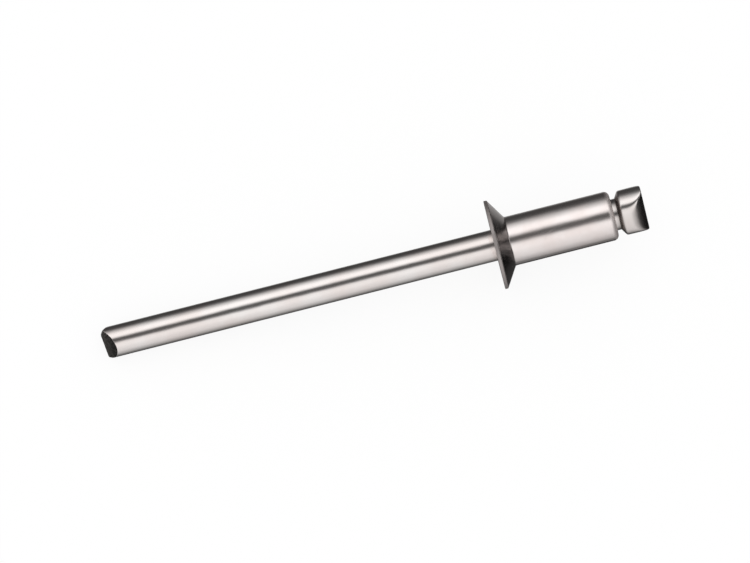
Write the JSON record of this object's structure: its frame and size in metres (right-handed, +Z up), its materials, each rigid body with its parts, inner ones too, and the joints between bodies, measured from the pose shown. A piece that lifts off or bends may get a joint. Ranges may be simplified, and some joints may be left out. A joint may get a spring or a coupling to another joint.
{
  "type": "blind rivet",
  "caption": "Countersunk tubular blind rivet on its headed mandrel, unset; the mandrel is pulled through the barrel to clinch sheets from one side.",
  "frame": {"origin": "on the surface it lies on, under the middle of its bounding box", "axes": "+Z up; the axis runs along X and climbs 4.28 degrees from the cut tip at -X to the mandrel head at +X; +Y is the back"},
  "size_m": [0.0364, 0.0058, 0.0059],
  "materials": {
    "body_steel": "bright plated, satin",
    "mandrel_steel": "bright drawn wire"
  },
  "bodies": {
    "root": {"rivet_body": "body_steel", "mandrel": "mandrel_steel"}
  },
  "joints": []
}
